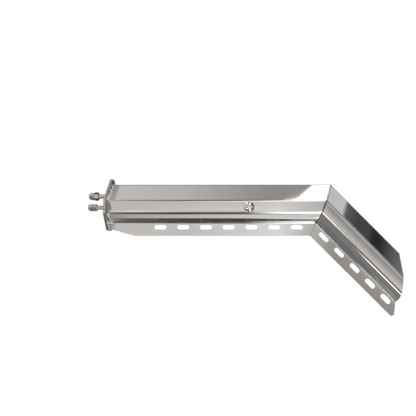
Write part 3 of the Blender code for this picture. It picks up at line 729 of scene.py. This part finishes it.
def sheet_arm(name, start_x, end_x):
    """A length of the arm: its outer face as an open surface, thickened inwards."""
    bm = bmesh.new()
    near = [bm.verts.new((start_x, y, z)) for y, z in SECTION]
    far = [bm.verts.new((end_x, y, z)) for y, z in SECTION]
    for index in range(len(SECTION) - 1):
        bm.faces.new((near[index], near[index + 1], far[index + 1], far[index]))
    made = put(name, mesh_from(bm, name))
    shell = made.modifiers.new("sheet", "SOLIDIFY")
    shell.thickness = SHEET
    shell.offset = -1
    shell.use_even_offset = True
    settle(made)
    return made


def slot_mesh(start_x, pitch, count, turn):
    """A row of plugs the shape of the slots, turned with the arm they cut."""
    bm = bmesh.new()
    half_run = (SLOT_LENGTH - SLOT_WIDTH) / 2
    across = Matrix.Rotation(math.radians(90), 4, "X") @ Matrix.Rotation(math.pi / SLOT_SIDES, 4, "Z")
    for index in range(count):
        centre = Vector((start_x + index * pitch, FLANGE_Y, SLOT_Z))
        plug = bmesh.ops.create_cone(bm, cap_ends=True, segments=SLOT_SIDES, radius1=SLOT_WIDTH / 2,
                                     radius2=SLOT_WIDTH / 2, depth=PAST, matrix=across)["verts"]
        for vert in plug:
            vert.co.x += math.copysign(half_run, vert.co.x)
            vert.co = turn @ (vert.co + centre)
    return mesh_from(bm, "slots")


def arm_straight():
    """The straight arm, from the plate to the miter."""
    made = sheet_arm("straight_arm_sheet", ARM_START_X, BEND_TOP_X + PAST)
    boolean(made, half_space_mesh(BEND_POINT - MITER_NORMAL * MITER_GAP, MITER_NORMAL))
    chamfer_end = Vector((PLATE + CHAMFER_LENGTH, 0, BOTTOM_Z))
    boolean(made, half_space_mesh(chamfer_end, Vector((-CHAMFER_RISE, 0, -CHAMFER_LENGTH)).normalized()))
    boolean(made, slot_mesh(*STRAIGHT_SLOTS, Matrix.Identity(4)))
    finish_piece(made, "arm", STAINLESS, "arm_straight", EDGE_ROUND)


def far_end_top():
    """The far end's top corner, the furthest point of the arm."""
    run = (FAR_END_X - BEND_TOP_X) / math.cos(BEND_ANGLE)
    return BEND_POINT + Vector((math.cos(BEND_ANGLE), 0, -math.sin(BEND_ANGLE))) * run


def far_corner_mesh():
    """What the rounded lower corner at the far end leaves out, as a prism across the flange."""
    along = Vector((math.cos(BEND_ANGLE), -math.sin(BEND_ANGLE)))
    edge = BEND_TURN @ Vector((BEND_TOP_X, 0, BOTTOM_Z))
    top = far_end_top()
    rise = Vector((math.sin(END_CUT_LEAN), math.cos(END_CUT_LEAN)))
    run = Vector((top.x - edge.x, top.z - edge.z)).cross(rise) / along.cross(rise)
    corner = Vector((edge.x, edge.z)) + along * run
    reach = 4 * END_CORNER_RADIUS
    legs = [corner - along * reach, corner, corner + rise * reach]
    arc = fillet_path(legs, [0, END_CORNER_RADIUS, 0], END_CORNER_STEPS)[1:-1]
    outside = corner - (rise - along).normalized() * END_CORNER_RADIUS
    return prism_mesh([*arc, outside], FLANGE_Y - PAST, FLANGE_Y + PAST, (X_AXIS, Z_AXIS, Y_AXIS))


def arm_angled():
    """The angled arm, from the miter to the slanted far end."""
    made = sheet_arm("angled_arm_sheet", BEND_TOP_X - PAST, BEND_TOP_X + UNCUT_LENGTH)
    made.data.transform(BEND_TURN)
    boolean(made, half_space_mesh(BEND_POINT + MITER_NORMAL * MITER_GAP, -MITER_NORMAL))
    end_normal = Vector((math.cos(END_CUT_LEAN), 0, -math.sin(END_CUT_LEAN)))
    boolean(made, half_space_mesh(far_end_top(), end_normal))
    inner_corner_x = BEND_TOP_X + (TOP_Z - BOTTOM_Z) * math.tan(MITER_LEAN)
    start, pitch, count = ANGLED_SLOTS
    boolean(made, slot_mesh(inner_corner_x + start, pitch, count, BEND_TURN))
    boolean(made, far_corner_mesh())
    finish_piece(made, "arm", STAINLESS, "arm_angled", EDGE_ROUND)


# ---------------------------------------------------------------- plate, tube and welds

PLATE_OUTLINE_MM = [
    (64, 50), (50, 63.6), (30, 63.6), (-40, 3.1), (-43, -32.7), (-12, -73.3), (20, -73.3), (64, 12),
]
PLATE_CORNER = 4.0 * MM
PLATE_EDGE = 0.7 * MM
PLATE_HOLE = 12.7 * MM
YZ_AXES = (Y_AXIS, Z_AXIS, X_AXIS)

TUBE_CORNER = 3.0 * MM
TUBE_WALL = 2.4 * MM

BEAD_WIDTH = 7.0 * MM
BEAD_HEIGHT = 5.0 * MM
WIDE_BEAD = 1.55
BEAD_INSET = 0.8 * MM
RIPPLE = 7.0 * MM
TUBE_BEAD_WIDTH = 3.0 * MM
LENS_WIDTH = 14.2 * MM
LENS_HEIGHT = 1.3 * MM
LENS_WIDEST = 0.66
LENS_TOP = 0.5
LENS_TIP = 0.05
LENS_TAPER = 0.6
LENS_END = 0.15
LENS_FILL = 6
SEAM_WIDTH = 4.4 * MM
SEAM_HEIGHT = 0.45 * MM
FLANGE_SEAM_WIDTH = 2.2 * MM
FLANGE_SEAM_DEPTH = 1.1 * MM
WELD_STEP = 0.35 * MM
# How deep a bead's ripples and lumps are, how it tapers to its ends, and how they shift round it
BEAD_RIPPLE = 0.35
TUBE_BEAD_RIPPLE = 0.2
BEAD_END = 0.35
BEAD_FILL = 3.0
RIPPLE_LAG = 0.18
LUMP_LAG = 0.6


def mounting_plate():
    """The thick plate at the arm's end, with rounded edges and a hole for each mounting bolt."""
    corners = [(y * MM, z * MM) for y, z in PLATE_OUTLINE_MM]
    outline = fillet_path(corners, [PLATE_CORNER] * len(corners), BEND_STEPS, closed=True)
    made = put("plate", prism_mesh(outline, PLATE_LOW.x, PLATE_HIGH.x, YZ_AXES))
    for side in SIDES:
        centre = on_bolt(side, PLATE_LOW.x)
        boolean(made, cylinder_mesh(PLATE_HOLE / 2, centre - X_AXIS * PAST, centre + X_AXIS * PAST))
    finish_piece(made, "arm", PLATE_STEEL, "mounting_plate", PLATE_EDGE, 3)


def support_tube():
    """The square tube behind the arm's front face."""
    centre = (TUBE_LOW + TUBE_HIGH) / 2
    half = (TUBE_HIGH.z - TUBE_LOW.z) / 2

    def square(size, radius):
        corners = [(size, size), (-size, size), (-size, -size), (size, -size)]
        path = fillet_path(corners, [radius] * 4, BEND_STEPS, closed=True)
        return [(centre.y + y, centre.z + z) for y, z in path]

    made = put("tube", prism_mesh(square(half, TUBE_CORNER), TUBE_LOW.x, TUBE_HIGH.x, YZ_AXES))
    inside = square(half - TUBE_WALL, TUBE_CORNER - TUBE_WALL)
    boolean(made, prism_mesh(inside, TUBE_LOW.x - PAST, TUBE_HIGH.x + PAST, YZ_AXES))
    hole = Vector((centre_of("carriage_bolt").x, centre.y, centre.z))
    across = Y_AXIS * (half + PAST)
    boolean(made, cylinder_mesh(CARRIAGE_HOLE / 2, hole - across, hole + across))
    finish_piece(made, "arm", TUBE_PAINT, "support_tube", EDGE_ROUND)


def evenly(points, step=WELD_STEP):
    """Evenly spaced points along a path."""
    spaced = [points[0]]
    left = step
    for first, second in zip(points, points[1:]):
        length = (second - first).length
        while left <= length:
            spaced.append(first.lerp(second, left / length))
            left += step
        left -= length
    return spaced


def weld_mesh(path, across, width, height, ripple, swell=(1.0, 1.0), columns=24):
    """A bead of weld along a path, flattened across one direction, rippled, lumpy and wider at one end."""
    count = len(path)
    length = (count - 1) * (path[1] - path[0]).length

    def place(row, column):
        before, after = neighbours(path, row)
        up = (after - before).normalized().cross(across)
        run = row / (count - 1)
        angle = 2 * math.pi * column / columns
        end = min(1.0, BEAD_END + BEAD_FILL * math.sqrt(min(run, 1 - run)))
        lag = run * length / RIPPLE - RIPPLE_LAG * math.cos(angle)
        wave = 1 - ripple * (1 - abs(math.sin(math.pi * lag))) ** 2
        lump = 1 + ripple * noise.noise(path[row] / RIPPLE + Z_AXIS * LUMP_LAG * math.cos(angle))
        size = end * wave * lump * (swell[0] + (swell[1] - swell[0]) * run)
        return path[row] + size * (across * width / 2 * math.cos(angle) + up * height / 2 * math.sin(angle))

    return grid_mesh(count, columns, place, cap=True)


def plate_welds():
    """The beads between the plate and the arm: rippled on both slopes, ground smooth on the front face."""
    corner = BEND_STEPS + 1
    halfway = corner // 2
    # Each run covers part of the section, from one bend to another, and is widest beside the front
    runs = {
        "upper_plate_weld": (halfway - 2, corner + halfway, (1.0, WIDE_BEAD)),
        "lower_plate_weld": (2 * corner + halfway, 4 * corner + 4, (WIDE_BEAD, 1.0)),
    }
    for name, (first, last, swell) in runs.items():
        path = evenly([Vector((PLATE - BEAD_INSET, *point)) for point in SECTION[1 + first : 2 + last]])
        for index, place in enumerate(path):
            run = index / (len(path) - 1)
            place.x += BEAD_WIDTH / 2 * (swell[0] + (swell[1] - swell[0]) * run)
        made = put(name + "_bead", weld_mesh(path, X_AXIS, BEAD_WIDTH, BEAD_HEIGHT, BEAD_RIPPLE, swell))
        finish_piece(made, "arm", WELD_METAL, name)

    made = put("front_bead", lens_mesh(FRONT_TOP_Z + 1 * MM, FRONT_BOTTOM_Z + 0.5 * MM))
    finish_piece(made, "arm", GROUND_WELD, "front_plate_weld")


def lens_mesh(top_z, bottom_z, rows=56, columns=40):
    """The ground weld on the front face: a shallow drop shape whose straight side lies on the plate."""

    def place(row, column):
        run = row / (rows - 1)
        angle = 2 * math.pi * column / columns
        if run < LENS_WIDEST:
            fullness = LENS_TOP + (1 - LENS_TOP) * math.sin(math.pi / 2 * run / LENS_WIDEST)
        else:
            narrowing = math.cos(math.pi / 2 * (run - LENS_WIDEST) / (1 - LENS_WIDEST))
            fullness = max(LENS_TIP, narrowing) ** LENS_TAPER
        half = LENS_WIDTH / 2 * fullness
        ends = min(1.0, LENS_END + LENS_FILL * min(run, 1 - run))
        rise = LENS_HEIGHT * ends * math.sin(angle)
        centre_x = PLATE - BEAD_INSET / 2 + half
        return Vector((centre_x + half * math.cos(angle), FRONT_Y - rise, top_z + (bottom_z - top_z) * run))

    return grid_mesh(rows, columns, place, cap=True)


def tube_welds():
    """The small beads that hold the support tube to the plate."""
    for name in ("upper_tube_weld", "lower_tube_weld"):
        low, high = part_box(name)
        middle = (low + high) / 2
        path = evenly([Vector((middle.x, low.y, middle.z)), Vector((middle.x, high.y, middle.z))])
        bead = weld_mesh(path, X_AXIS, TUBE_BEAD_WIDTH, TUBE_BEAD_WIDTH, TUBE_BEAD_RIPPLE)
        made = put(name + "_bead", bead)
        finish_piece(made, "arm", WELD_METAL, name)


def miter_seam():
    """The ground weld along the miter: slightly proud of the sheet, and sunk between the two flanges."""
    lean = Vector((math.sin(MITER_LEAN), 0, math.cos(MITER_LEAN)))
    outline = evenly(SECTION, 2 * WELD_STEP)
    columns = 16

    def place(row, column):
        before, after = neighbours(outline, row)
        along = (after - before).normalized()
        on_flange = outline[row].y < FLANGE_TOP_Z - FLANGE_BEND
        width = FLANGE_SEAM_WIDTH if on_flange else SEAM_WIDTH
        proud = -FLANGE_SEAM_DEPTH if on_flange else SEAM_HEIGHT - SHEET / 2
        angle = 2 * math.pi * column / columns
        depth = proud + SHEET / 2 * math.sin(angle)
        y, z = outline[row] + Vector((along.y, -along.x)) * depth
        centre = BEND_POINT + lean * (z - TOP_Z) / math.cos(MITER_LEAN) + Vector((0, y, 0))
        return centre + MITER_NORMAL * width / 2 * math.cos(angle)

    made = put("miter_seam", grid_mesh(len(outline), columns, place, cap=True))
    finish_piece(made, "arm", SEAM_METAL, "miter_weld")


# ---------------------------------------------------------------- bolts, nuts, washers and springs

SIDES = ("upper", "lower")
SHANK = 11.1 * MM
PITCH = 25.4 * MM / 14
THREAD_DEPTH = 0.25 * MM
THREAD_ROWS = 8
THREAD_STEEPNESS = 1.3
THREAD_ROOT = 0.15
THREAD_CHAMFER = 1.2 * THREAD_DEPTH
THREADED = 60.0 * MM
HEAD_FLATS = 15.9 * MM
NUT_FLATS = 17.46 * MM
HEAVY_NUT_FLATS = 19.05 * MM
LOCK_NUT_HEX = 8.6 * MM
LOCK_NUT_COLLAR = 15.2 * MM
COLLAR_ROUND = 2.6 * MM
BORE_GAP = 0.3 * MM
NUT_EDGE = 0.3 * MM
NUT_CHAMFER_LEAN = math.radians(30)
NUT_FACE = 0.96
PAST_CORNER = 1.01
BORE_SINK = 0.7 * MM
LATHE_SIDES = 72
FLAT_UP = math.radians(30)
CORNER_UP = 0.0
INNER_NUTS = {"upper": (HEAVY_NUT_FLATS, CORNER_UP), "lower": (NUT_FLATS, FLAT_UP)}
SLIT = 1.6 * MM
SLIT_LEAN = math.radians(30)
SPRING_WIRE = 2.4 * MM
SPRING_TURNS = 10
CLOSED_TURN = 1.05 * SPRING_WIRE
COIL_STEPS = 36

CARRIAGE_HOLE = 13.3 * MM
CARRIAGE_SHANK = 12.7 * MM
CARRIAGE_PITCH = 25.4 * MM / 13
CARRIAGE_HEAD_HEIGHT = 6.2 * MM
CARRIAGE_NECK = 6.0 * MM
CARRIAGE_THREADED = 24.0 * MM
DOME_STEPS = 20
DOME_SEAT = 0.1 * MM
DOME_TRIM = 0.998


def centre_of(node):
    """The middle of a CAD node's box."""
    low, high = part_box(node)
    return (low + high) / 2


def on_bolt(side, x):
    """The point on a mounting bolt's axis at a place along the arm."""
    centre = centre_of(side + "_mounting_bolt")
    return Vector((x, centre.y, centre.z))


def across_corners(flats):
    """A hexagon's corner radius from its width across the flats."""
    return flats / 2 / math.cos(math.pi / HEX)


def rod_mesh(start, end, radius, pitch, threaded, sides=40):
    """A rod with a real helical thread over the first part of its length and a chamfered first end."""
    axis = (end - start).normalized()
    turn = axis.to_track_quat("Z", "Y").to_matrix()
    length = (end - start).length
    count = round(threaded / pitch * THREAD_ROWS)
    heights = [threaded * index / count for index in range(count + 1)] + [threaded + pitch / 4, length]

    def place(row, column):
        height = heights[row]
        angle = 2 * math.pi * column / sides
        phase = (height / pitch - column / sides) % 1.0
        ridge = min(1.0, max(0.0, abs(2 * phase - 1) * THREAD_STEEPNESS - THREAD_ROOT))
        reach = radius - THREAD_DEPTH * (1 - ridge) if row <= count else radius
        reach = min(reach, radius - THREAD_CHAMFER + height)
        return start + turn @ Vector((reach * math.cos(angle), reach * math.sin(angle), height))

    return grid_mesh(len(heights), sides, place, cap=True)


def hex_mesh(flats, start, end, turn=0.0, both=True):
    """A hexagon whose corners are chamfered at its outer end, or at both."""
    corner = across_corners(flats)
    face = flats / 2 * NUT_FACE
    past = corner * PAST_CORNER
    height = (end - start).length
    drop = (corner - face) * math.tan(NUT_CHAMFER_LEAN)
    hexagon = put("hexagon", cylinder_mesh(corner, start, end, HEX, turn))
    bottom = [(face, 0), (past, drop)] if both else [(past, 0)]
    profile = [(0, 0), *bottom, (past, height - drop), (face, height), (0, height)]
    boolean(hexagon, turned_mesh(profile, start, (end - start).normalized(), LATHE_SIDES), "INTERSECT")
    data = hexagon.data.copy()
    bpy.data.objects.remove(hexagon)
    return data


def bored(name, data, radius, start, end):
    """A piece with a countersunk hole along its axis."""
    made = put(name, data)
    height = (end - start).length
    rim = radius + 2 * BORE_SINK
    profile = [(0, -BORE_SINK), (rim, -BORE_SINK), (radius, BORE_SINK), (radius, height - BORE_SINK),
               (rim, height + BORE_SINK), (0, height + BORE_SINK)]
    boolean(made, turned_mesh(profile, start, (end - start).normalized(), 64))
    return made


def ring_between(name, low, high, inner, axis=X_AXIS, rounding=0.35 * MM):
    """A washer with rounded rims that fills a box along an axis."""
    outer = (high.z - low.z) / 2
    height = (high - low).dot(axis)
    corners = [(inner, 0), (outer, 0), (outer, height), (inner, height)]
    profile = fillet_path(corners, [0.1 * MM, rounding, rounding, 0.1 * MM], 4, closed=True)
    origin = (low + high) / 2 - axis * height / 2
    return put(name, turned_mesh(profile, origin, axis, LATHE_SIDES))


def lock_nut(side, body):
    """The outer nut: a hexagon under a rounded collar."""
    low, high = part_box(side + "_outer_nut")
    start, end = on_bolt(side, low.x), on_bolt(side, high.x)
    radius = LOCK_NUT_COLLAR / 2
    height = high.x - low.x
    corners = [(0, 0), (radius, 0), (radius, height - 1 * MM), (0, height - 1 * MM)]
    profile = fillet_path(corners, [0, COLLAR_ROUND, 0, 0], 8)
    made = put("hexagon_and_collar", hex_mesh(NUT_FLATS, end, end - X_AXIS * LOCK_NUT_HEX, FLAT_UP))
    boolean(made, turned_mesh(profile, start, X_AXIS, LATHE_SIDES), "UNION")
    data = made.data.copy()
    bpy.data.objects.remove(made)
    made = bored(side + "_lock_nut", data, SHANK / 2 + BORE_GAP, start, end)
    finish_piece(made, body, ZINC, side + "_outer_nut", NUT_EDGE)


def plain_nut(name, node, body, flats, radius, axis, turn=0.0):
    """A chamfered hex nut that fills a CAD nut's length."""
    low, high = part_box(node)
    centre = (low + high) / 2
    reach = axis * abs((high - low).dot(axis)) / 2
    start, end = centre - reach, centre + reach
    made = bored(name, hex_mesh(flats, start, end, turn), radius, start, end)
    finish_piece(made, body, ZINC, node, NUT_EDGE)


def mounting_bolt(side, body):
    """The long bolt: threaded outside the plate, plain inside, with a hex head in the arm."""
    low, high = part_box(side + "_mounting_bolt")
    start = on_bolt(side, low.x)
    seat = on_bolt(side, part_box(side + "_head_washer")[1].x + GAP)
    slope_turn = math.radians(90) - math.atan2(TOP_Z - FRONT_TOP_Z, REAR_Y - FRONT_Y)
    head = hex_mesh(HEAD_FLATS, seat, on_bolt(side, high.x), slope_turn, both=False)
    made = put(side + "_long_bolt", rod_mesh(start, seat + X_AXIS * GAP, SHANK / 2, PITCH, THREADED))
    boolean(made, head, "UNION")
    finish_piece(made, body, BOLT_STEEL, side + "_mounting_bolt")


def coil_path(start_x, end_x, radius):
    """Points along a spring round the X axis, whose end turns lie closed."""
    points = []
    length = end_x - start_x
    for step in range(SPRING_TURNS * COIL_STEPS + 1):
        turns = step / COIL_STEPS
        opened = min(max((turns - 1) / (SPRING_TURNS - 2), 0), 1)
        ends = min(turns, 1) + max(turns - SPRING_TURNS + 1, 0)
        rise = CLOSED_TURN * ends + (length - 2 * CLOSED_TURN) * opened
        angle = 2 * math.pi * turns
        spoke = Y_AXIS * math.cos(angle) + Z_AXIS * math.sin(angle)
        points.append(X_AXIS * (start_x + rise) + spoke * radius)
    return points


def spring(side):
    """The compression spring round a bolt, as long as the CAD spring."""
    node = side + "_spring"
    low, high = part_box(node)
    centre = on_bolt(side, 0)
    radius = (high.z - low.z) / 2 - SPRING_WIRE / 2
    coil = coil_path(low.x + SPRING_WIRE / 2, high.x - SPRING_WIRE / 2, radius)
    path = [centre + point for point in coil]
    columns = 14

    def place(row, column):
        before, after = neighbours(path, row)
        aim = (after - before).normalized()
        out = path[row] - centre - X_AXIS * path[row].x
        out = (out - aim * out.dot(aim)).normalized()
        angle = 2 * math.pi * column / columns
        return path[row] + (out * math.cos(angle) + aim.cross(out) * math.sin(angle)) * SPRING_WIRE / 2

    made = put(side + "_coil", grid_mesh(len(path), columns, place, cap=True))
    finish_piece(made, "arm", SPRING_STEEL, node)
    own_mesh(made)


def washers(side, body):
    """The seat washers and, on the upper bolt, the lock washer under its outer nut."""
    loose = SHANK / 2 + BORE_GAP
    for suffix, home in {"_plate_washer": "arm", "_head_washer": body}.items():
        made = ring_between(side + suffix + "_ring", *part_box(side + suffix), loose)
        finish_piece(made, home, ZINC, side + suffix)
    if side == "upper":
        low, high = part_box("upper_lock_washer")
        made = ring_between("upper_split_ring", low, high, loose, rounding=0.2 * MM)
        outer = (high.z - low.z) / 2
        slit_centre = (low + high) / 2 + Z_AXIS * (outer + loose) / 2
        place = Matrix.Translation(slit_centre) @ Matrix.Rotation(SLIT_LEAN, 4, "Z")
        boolean(made, box_mesh((4 * (high.x - low.x), SLIT, outer), place))
        finish_piece(made, body, ZINC, "upper_lock_washer", 0.15 * MM)


def dome_profile(radius):
    """The carriage bolt's head: a low dome on a short rounded rim, sunk a little into the arm."""
    dome_radius = (radius * radius + CARRIAGE_HEAD_HEIGHT**2) / (2 * CARRIAGE_HEAD_HEIGHT)
    top = math.asin(radius / dome_radius)
    profile = [(0, -DOME_SEAT), (radius - 5 * DOME_SEAT, -DOME_SEAT), (radius, 2 * DOME_SEAT)]
    for step in range(1, DOME_STEPS):
        angle = top * (1 - step / DOME_STEPS)
        across = dome_radius * math.sin(angle)
        height = dome_radius * (math.cos(angle) - 1) + CARRIAGE_HEAD_HEIGHT
        profile.append((across * DOME_TRIM, height + DOME_SEAT * across / radius))
    return [*profile, (0, CARRIAGE_HEAD_HEIGHT)]


def carriage_bolt():
    """The round-headed bolt through the front face and the tube, and the washer and nut behind it."""
    low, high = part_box("carriage_bolt")
    centre = (low + high) / 2
    face = Vector((centre.x, low.y + CARRIAGE_HEAD_HEIGHT, centre.z))
    radius = (high.x - low.x) / 2
    made = put("round_head_bolt", turned_mesh(dome_profile(radius), face, -Y_AXIS))
    neck_centre = face + Y_AXIS * (CARRIAGE_NECK - GAP) / 2
    neck = box_mesh((CARRIAGE_SHANK, CARRIAGE_NECK + GAP, CARRIAGE_SHANK), Matrix.Translation(neck_centre))
    boolean(made, neck, "UNION")
    start, end = Vector((centre.x, high.y, centre.z)), face + Y_AXIS * CARRIAGE_NECK / 2
    boolean(made, rod_mesh(start, end, CARRIAGE_SHANK / 2, CARRIAGE_PITCH, CARRIAGE_THREADED), "UNION")
    finish_piece(made, "arm", CHROME, "carriage_bolt")

    hole = CARRIAGE_HOLE / 2
    washer = ring_between("carriage_ring", *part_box("carriage_washer"), hole, Y_AXIS, 0.5 * MM)
    finish_piece(washer, "arm", ZINC, "carriage_washer")
    plain_nut("carriage_hex", "carriage_nut", "arm", HEAVY_NUT_FLATS, hole, Y_AXIS)


def bolt_set(side):
    """Everything on one mounting bolt."""
    body = side + "_bolt"
    mounting_bolt(side, body)
    lock_nut(side, body)
    flats, turn = INNER_NUTS[side]
    plain_nut(side + "_hex_nut", side + "_inner_nut", body, flats, SHANK / 2 + BORE_GAP, X_AXIS, turn)
    washers(side, body)
    spring(side)


# ---------------------------------------------------------------- build

studio()
arm_straight()
arm_angled()
miter_seam()
mounting_plate()
support_tube()
plate_welds()
tube_welds()
carriage_bolt()
for side in SIDES:
    bolt_set(side)
